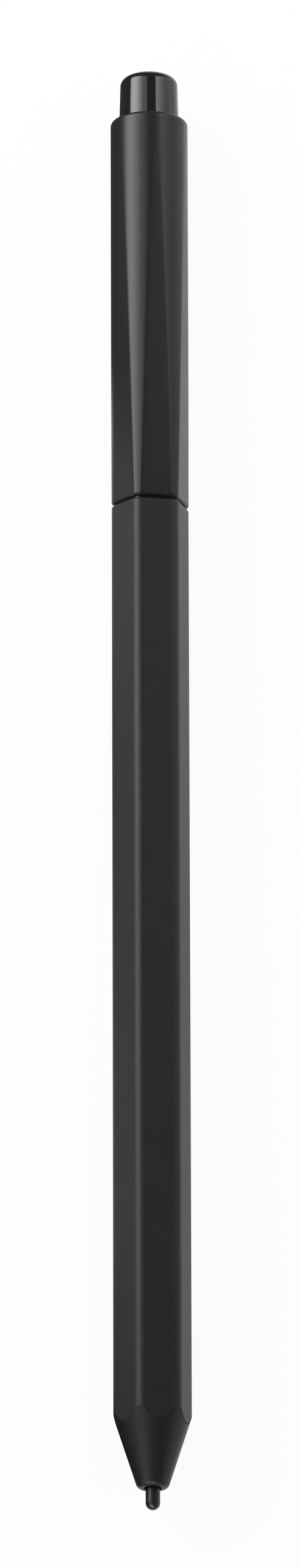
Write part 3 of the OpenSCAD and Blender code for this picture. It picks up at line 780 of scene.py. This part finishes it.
# Roundings of the eraser: inside its skirt, at the skirt's edge, and where its head leaves the cap
CAVITY_BEND, SKIRT_EDGE, HEAD_BEND = 0.2 * MM, 0.15 * MM, 0.3 * MM
ERASER_STEPS = 10


class PEN_OT_eraser(bpy.types.Operator):
    """Glossy eraser with its skirt and stem"""

    bl_idname = "pen.eraser"
    bl_label = "Eraser"

    def execute(self, context):
        """A profile with rounded corners, revolved: stem with its groove, cavity, skirt and drafted head."""
        s = context.scene.pen_sizes
        front, rear, crown = ERASER_LOW.y, ERASER_HIGH.y, CAP_HIGH.y
        stem, outer = s.stem_diameter / 2.0, ERASER_HIGH.x
        roof = rear - s.eraser_roof
        skirt = crown - s.skirt_length
        head = outer - (rear - crown) * math.tan(s.eraser_draft)
        profile = rounded([
            (front, 0.0, 0.0),
            (front, stem, BROKEN_EDGE),
            *groove(CLIP_LOW.y, CLIP_HIGH.y, stem, s.clip_groove / 2.0, GROOVE_EDGE),
            (roof, stem, CAVITY_BEND),
            (roof, outer - s.skirt_wall, CAVITY_BEND),
            (skirt, outer - s.skirt_wall, SMALL_EDGE),
            (skirt, outer, SKIRT_EDGE),
            (crown, outer, HEAD_BEND),
            (rear, head, s.eraser_round),
            (rear, 0.0, 0.0),
        ], ERASER_STEPS)
        add_piece("eraser_head", turned(profile), "eraser_gloss", "eraser", ["eraser_tip"], ring=False)
        return {"FINISHED"}


# Rows round the nib's point, columns of the nib, and start of its rod in radii
POINT_ROWS, NIB_COLUMNS, ROD_START = 25, 64, 1.4


class PEN_OT_nib(bpy.types.Operator):
    """Replaceable nib with a round point"""

    bl_idname = "pen.nib"
    bl_label = "Nib"

    def execute(self, context):
        """A quarter circle from the tip to the nib's radius, a straight rod and a rounded end, revolved."""
        radius = NIB_HIGH.x
        bend = np.linspace(0.0, math.pi / 2.0, POINT_ROWS)
        point = np.stack([NIB_LOW.y + radius * (1.0 - np.cos(bend)), radius * np.sin(bend)], axis=-1)
        tail = rounded([
            (NIB_LOW.y + ROD_START * radius, radius, 0.0),
            (NIB_HIGH.y, radius, SMALL_EDGE),
            (NIB_HIGH.y, 0.0, 0.0),
        ])
        points = turned(np.concatenate([point, tail]), NIB_COLUMNS)
        add_piece("nib_rod", points, "nib_black", "nib", ["nib"], ring=False)
        return {"FINISHED"}


# Roundings of the sleeve's front and rear ends, and points round the rubber ring's section
FRONT_EDGE, LEAD_IN = 0.2 * MM, 0.4 * MM
RING_STEPS = 20


class PEN_OT_sleeve(bpy.types.Operator):
    """Joint sleeve with its collar, and the rubber ring that grips the cap"""

    bl_idname = "pen.sleeve"
    bl_label = "Joint sleeve"

    def execute(self, context):
        """The sleeve is a closed profile with rounded corners, revolved. Its collar is stretched out to a
        hexagon, by the share of the way from the sleeve's radius to the collar's. The ring is a circle,
        revolved.
        """
        s = context.scene.pen_sizes
        seat, reach, bore = s.sleeve_seat / 2.0, s.sleeve_reach / 2.0, s.sleeve_bore / 2.0
        collar = APOTHEM - s.collar_inset
        x, height = hexagon(s.collar_inset, s.corner_radius)
        angle, outline = np.arctan2(x, height), np.hypot(x, height)
        wire = (RING_HIGH.y - RING_LOW.y) / 2.0
        ring_y, ring_r = (RING_LOW.y + RING_HIGH.y) / 2.0, RING_HIGH.x - wire
        floor = ring_r - wire - RING_ROOM
        profile = rounded([
            (SLEEVE_LOW.y, bore + END_STEP, 0.0),
            (SLEEVE_LOW.y, seat, FRONT_EDGE),
            (SHOULDER_Y, seat, GROOVE_EDGE),
            (SHOULDER_Y, collar, FINE_EDGE),
            (CAP_LOW.y, collar, FINE_EDGE),
            (CAP_LOW.y, reach, GROOVE_EDGE),
            *groove(ring_y - wire, ring_y + wire, reach, floor, RING_EDGE),
            (SLEEVE_HIGH.y, reach, LEAD_IN),
            (SLEEVE_HIGH.y, bore, BROKEN_EDGE),
            (SLEEVE_LOW.y, bore, BROKEN_EDGE),
            (SLEEVE_LOW.y, bore + END_STEP / 2.0, 0.0),
        ])
        share = np.clip((profile[:, 1:] - reach) / (collar - reach), 0.0, 1.0)
        sleeve = around(profile[:, :1], profile[:, 1:] + share * (outline - collar), angle)
        add_piece("sleeve_body", sleeve, "sleeve_black", "body", ["joint_sleeve"])
        bend = np.linspace(0.0, 2.0 * math.pi, RING_STEPS, endpoint=False)
        circle = np.stack([ring_y + wire * np.sin(bend), ring_r + wire * np.cos(bend)], axis=-1)
        add_piece("grip_band", turned(circle), "rubber_black", "body", ["grip_ring"])
        return {"FINISHED"}


# Points along one turn of a spring
SPRING_STEPS = 28


def spring_points(node, wire, turns):
    """A round wire along a helix inside a node's box: the angle grows evenly along the axis."""
    low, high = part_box(node)
    mean = high.x - wire / 2.0
    share = np.linspace(0.0, 1.0, turns * SPRING_STEPS + 1)
    angle = math.pi / 2.0 + 2.0 * math.pi * turns * share
    path = around(low.y + wire / 2.0 + (high.y - low.y - wire) * share, mean, angle)
    side = np.column_stack([np.sin(angle), 0.0 * angle, np.cos(angle)])
    return wire_tube(path, side, wire)


class PEN_OT_springs(bpy.types.Operator):
    """Return spring of the nib and spring of the eraser"""

    bl_idname = "pen.springs"
    bl_label = "Springs"

    def execute(self, context):
        """Each spring is a round wire along a helix inside its node's box, with a mesh of its own. The joint
        and seat in its row are not used.
        """
        s = context.scene.pen_sizes
        rows = (
            ("return_coil", "return_spring", "body", "nib_press", s.return_wire, s.return_turns, 1),
            ("eraser_coil_spring", "eraser_spring", "cap", "eraser_press", s.eraser_wire, s.eraser_turns, 0),
        )
        for name, node, body, joint, wire, turns, seat in rows:
            points = spring_points(node, wire, turns)
            coil = add_piece(name, points, "spring_steel", body, [node], ring=False)
            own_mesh(coil)
        return {"FINISHED"}


# Columns of a winding, rows across one of its wires, and how much of a wire's round stands out
WINDING_COLUMNS, WIRE_ROWS, WIRE_CREST = 60, 8, 0.9
# Angle in degrees from which an edge of a winding is drawn sharp
WINDING_SHARP = 70.0


def winding_points(node, inner, wire):
    """A wound sleeve: its outside is the row of round wires that climbs one pitch a turn.

    At the distance d from the nearest wire's middle, the radius is the outer radius less half a wire, plus
    WIRE_CREST times the square root of (half a wire) squared less d squared.
    """
    low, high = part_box(node)
    turns = round((high.y - low.y) / wire)
    pitch = (high.y - low.y) / turns
    angle = np.linspace(0.0, 2.0 * math.pi, WINDING_COLUMNS, endpoint=False)[None]
    y = np.linspace(low.y, high.y, turns * WIRE_ROWS + 1)[:, None]
    off = (((y - low.y) / pitch + angle / (2.0 * math.pi)) % 1.0 - 0.5) * pitch
    crest = high.x - pitch / 2.0 + np.sqrt(np.maximum((pitch / 2.0) ** 2 - off**2, 0.0)) * WIRE_CREST
    outside = around(y, np.minimum(crest, high.x), angle)
    hollow = around(np.array([[high.y], [low.y]]), inner, angle)
    return np.concatenate([outside, hollow])


class PEN_OT_windings(bpy.types.Operator):
    """Copper windings of the tip and of the eraser"""

    bl_idname = "pen.windings"
    bl_label = "Windings"

    def execute(self, context):
        """Both windings are rows of round wire on a plain inside."""
        s = context.scene.pen_sizes
        rows = (
            ("tip_winding", "tip_coil", "body", s.core_diameter),
            ("eraser_winding", "eraser_coil", "cap", s.bobbin_diameter),
        )
        for name, node, body, inner in rows:
            points = winding_points(node, inner / 2.0, s.winding_wire)
            add_piece(name, points, "copper_wire", body, [node], sharp=WINDING_SHARP)
        return {"FINISHED"}


class PEN_OT_inner_finishes(bpy.types.Operator):
    """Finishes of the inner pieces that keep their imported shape"""

    bl_idname = "pen.inner_finishes"
    bl_label = "Inner finishes"

    def execute(self, context):
        """Each shown node gets the finish of its slot in the record."""
        slots = {row["node"]: row["material_slot"] for row in frame["record"]["subparts"]}
        for name, node in frame["nodes"].items():
            if not node.hide_render:
                node.data.materials.clear()
                node.data.materials.append(finish(slots[name]))
        return {"FINISHED"}


# Where the photograph was taken from: tilt towards the nib, turn to the left, and slight roll
CAMERA_TILT = math.radians(18.7)
CAMERA_TURN = math.radians(11.2)
CAMERA_ROLL = 0.0027
CAMERA_DISTANCE = 1.444
CAMERA_LENS, CAMERA_SENSOR = 300.0, 36.0
CAMERA_CLIP = (0.05, 60.0)
CAMERA_AIM = Vector((0.0, -0.30 * MM, AXIS_HEIGHT))
CAMERA_SHIFT = 0.155 * MM

# Each softbox lies between two angles left of straight up, at one distance from the axis and between two Y
LEFT_SOFTBOX = math.radians(20.0), math.radians(90.0)
RIGHT_SOFTBOX = math.radians(-15.8), math.radians(-90.0)
SOFTBOX_DISTANCE = 0.6
SOFTBOX_NEAR, SOFTBOX_FAR = -0.45, 0.5


def softbox(name, start, end, glow):
    """An area lamp between two angles left of straight up, as the pen's axis sees it.

    Its radiance is glow, a function of two shares: across it from the end nearer to straight up, and along
    it from the nib's end.
    """
    centre, spread = (start + end) / 2.0, abs(end - start) / 2.0
    width, length = 2.0 * SOFTBOX_DISTANCE * math.sin(spread), SOFTBOX_FAR - SOFTBOX_NEAR
    lamp = bpy.data.lights.new(name, "AREA")
    lamp.shape = "RECTANGLE"
    lamp.size, lamp.size_y = width, length
    lamp.energy = math.pi * width * length
    lamp.use_nodes = True
    f = Finish(lamp.node_tree)
    spot = f.node("ShaderNodeNewGeometry", output="Parametric")
    across = f.node("ShaderNodeSeparateXYZ", {0: spot}, "X")
    along = f.node("ShaderNodeSeparateXYZ", {0: spot}, "Y")
    from_top = across if end < start else 1.0 - across
    light = f.node("ShaderNodeEmission", {"Strength": glow(f, from_top, along)})
    f.node("ShaderNodeOutputLight", {"Surface": light})
    holder = bpy.data.objects.new(name, lamp)
    middle = Vector((0.0, (SOFTBOX_NEAR + SOFTBOX_FAR) / 2.0, AXIS_HEIGHT))
    lift = Vector((0.0, 0.0, SOFTBOX_DISTANCE * math.cos(spread)))
    turn = Matrix.Rotation(-centre, 4, "Y")
    holder.matrix_world = Matrix.Translation(middle) @ turn @ Matrix.Translation(lift)
    holder.visible_camera = False
    bpy.context.scene.collection.objects.link(holder)


def left_glow(f, across, along):
    """A panel with a brighter band past its middle. It fades towards the nib, and there towards the floor
    too. A patch lights the cone, and a short line lights the barrel's edge.
    """
    band = 2.3 + 9.2 * f.ramp(across, 0.19, 0.68) * (1.0 - f.ramp(across, 0.76, 1.16))
    low_end = 1.0 - 0.85 * f.ramp(across, 0.62, 0.9) * (1.0 - f.ramp(along, 0.69, 0.74))
    nib_end = f.ramp(across, 0.1, 0.36) * (1.0 - f.ramp(across, 0.4, 0.8)) * (1.0 - f.ramp(along, 0.3, 0.5))
    edge_line = f.ramp(across, 0.35, 0.55) * (1.0 - f.ramp(across, 0.62, 0.82))
    edge_run = f.ramp(along, 0.46, 0.58) * (1.0 - f.ramp(along, 0.57, 0.67))
    fade = 0.06 + 0.94 * f.ramp(along, 0.44, 0.85)
    return band * low_end * fade + 1.4 * nib_end + 3.0 * edge_line * edge_run


def right_glow(f, across, along):
    """A panel with a slanting upper edge, which fades away from the top and towards the nib. Low down it
    glows all along.
    """
    inside = f.ramp(across + 1.29 * along, 1.02, 1.07)
    band = 1.2 + 4.4 * (1.0 - f.ramp(across, 0.05, 0.7))
    nib_end = 1.0 - f.ramp(along, 0.3, 0.5)
    fade = 0.06 + 0.94 * f.ramp(along, 0.62, 0.86)
    return inside * band * fade + f.ramp(across, 0.3, 0.7) * (0.5 + 0.5 * nib_end)


# Opposite corners of the floor, the two cards beside the pen and the card before the nib
FLOOR = (-20.0, -20.0, 0.0), (20.0, 20.0, 0.0)
LEFT_CARD, RIGHT_CARD, FRONT_CARD = MM * np.array([
    [[-3.0, -200.0, 0.02], [-150.0, 300.0, 0.02]],
    [[3.0, -200.0, 0.02], [150.0, 300.0, 0.02]],
    [[-58.0, -124.0, 4.0], [5.0, -124.0, 37.0]],
])
FRONT_GLOW = 5.0


def stage_face(name, low, high):
    """Puts a flat face between two opposite corners on the stage. Gives it and its look's node tree."""
    mesh = bpy.data.meshes.new(name)
    mesh.from_pydata(np.array([low, (high[0], *low[1:]), high, (low[0], *high[1:])]), [], [range(4)])
    material = bpy.data.materials.new(f"{name}_look")
    material.use_nodes = True
    mesh.materials.append(material)
    face = bpy.data.objects.new(name, mesh)
    bpy.context.scene.collection.objects.link(face)
    return face, Finish(material.node_tree)


def reflector(name, corners, glow):
    """A flat card that only reflections see. Its radiance is glow, a function of Y."""
    card, f = stage_face(name, *corners)
    light = f.node("ShaderNodeEmission", {"Strength": glow(f, f.along("Y"))})
    f.node("ShaderNodeOutputMaterial", {"Surface": light})
    card.visible_camera = card.visible_diffuse = card.visible_transmission = card.visible_shadow = False


def left_card_glow(f, y):
    """Grey, palest beside the seam and the barrel's front part, and dark beside the cap and the cone."""
    level = 0.41 + 0.37 * f.ramp(y, 4.0 * MM, 30.0 * MM) + 0.27 * (1.0 - f.ramp(y, -40.0 * MM, 4.0 * MM))
    nib_end = f.ramp(y, -74.0 * MM, -66.0 * MM) * (0.55 + 0.45 * f.ramp(y, -64.0 * MM, -46.0 * MM))
    return level * nib_end * (1.0 - 0.87 * f.ramp(y, 41.0 * MM, 52.0 * MM))


def right_card_glow(f, y):
    """White, and a little brighter towards the cap."""
    return 1.0 + 0.3 * f.ramp(y, -25.0 * MM, 55.0 * MM)


# Share of plain white that the floor shows, and the grey of the surroundings
FLOOR_WHITE = 0.94
WHITE = (1.0, 1.0, 1.0, 1.0)
SURROUNDINGS = (0.185, 0.185, 0.196, 1.0)


class PEN_OT_stage(bpy.types.Operator):
    """Pale floor, three reflector cards, two softboxes, grey surroundings and the camera"""

    bl_idname = "pen.stage"
    bl_label = "Stage"

    def execute(self, context):
        """The floor is a flat square, white to the camera and in reflections, that keeps a shadow."""
        scene = context.scene
        scene.view_settings.view_transform = "Standard"
        _, f = stage_face("floor", *FLOOR)
        rays = [f"Is {ray} Ray" for ray in ("Camera", "Glossy", "Transmission")]
        direct, mirrored, through = (f.node("ShaderNodeLightPath", output=ray) for ray in rays)
        share = (direct + mirrored + through) * FLOOR_WHITE
        matte = f.node("ShaderNodeBsdfDiffuse", {"Color": tint(scene.pen_colours.floor)})
        glow = f.node("ShaderNodeEmission", {"Color": WHITE})
        look = f.node("ShaderNodeMixShader", {0: share, 1: matte, 2: glow})
        f.node("ShaderNodeOutputMaterial", {"Surface": look})
        reflector("left_card", LEFT_CARD, left_card_glow)
        reflector("right_card", RIGHT_CARD, right_card_glow)
        reflector("front_card", FRONT_CARD, lambda f, y: FRONT_GLOW)
        scene.world = bpy.data.worlds.new("studio")
        scene.world.use_nodes = True
        w = Finish(scene.world.node_tree)
        sky = w.node("ShaderNodeBackground", {"Color": SURROUNDINGS})
        w.node("ShaderNodeOutputWorld", {"Surface": sky})
        softbox("left_softbox", *LEFT_SOFTBOX, left_glow)
        softbox("right_softbox", *RIGHT_SOFTBOX, right_glow)
        lens = bpy.data.cameras.new("camera")
        lens.lens = CAMERA_LENS
        lens.sensor_width = CAMERA_SENSOR
        lens.clip_start, lens.clip_end = CAMERA_CLIP
        camera = bpy.data.objects.new("camera", lens)
        facing = Matrix.Rotation(-CAMERA_TURN, 4, "Y") @ Matrix.Rotation(CAMERA_TILT, 4, "X")
        place = CAMERA_AIM + facing @ Vector((-CAMERA_SHIFT, 0.0, CAMERA_DISTANCE))
        camera.matrix_world = Matrix.Translation(place) @ facing @ Matrix.Rotation(-CAMERA_ROLL, 4, "Z")
        scene.collection.objects.link(camera)
        scene.camera = camera
        return {"FINISHED"}


PIECES = (
    PEN_OT_barrel, PEN_OT_rear_cap, PEN_OT_eraser, PEN_OT_nib, PEN_OT_sleeve, PEN_OT_springs,
    PEN_OT_windings, PEN_OT_inner_finishes, PEN_OT_stage,
)


class PEN_PT_pieces(bpy.types.Panel):
    """The pen's pieces, sizes and colours"""

    bl_idname = "PEN_PT_pieces"
    bl_label = "Stylus pen"
    bl_space_type = "VIEW_3D"
    bl_region_type = "UI"
    bl_category = "Stylus"

    def draw(self, context):
        for piece in PIECES:
            self.layout.operator(piece.bl_idname)
        for group in (context.scene.pen_sizes, context.scene.pen_colours):
            for name in group.__annotations__:
                self.layout.prop(group, name)


CLASSES = (PenSizes, PenColours, *PIECES, PEN_PT_pieces)


def register():
    for kind in CLASSES:
        bpy.utils.register_class(kind)
    bpy.types.Scene.pen_sizes = PointerProperty(type=PenSizes)
    bpy.types.Scene.pen_colours = PointerProperty(type=PenColours)


def unregister():
    del bpy.types.Scene.pen_colours
    del bpy.types.Scene.pen_sizes
    for kind in reversed(CLASSES):
        bpy.utils.unregister_class(kind)


def main():
    """Builds every piece in order."""
    register()
    for piece in PIECES:
        group, name = piece.bl_idname.split(".")
        getattr(getattr(bpy.ops, group), name)()


if __name__ == "__main__":
    main()
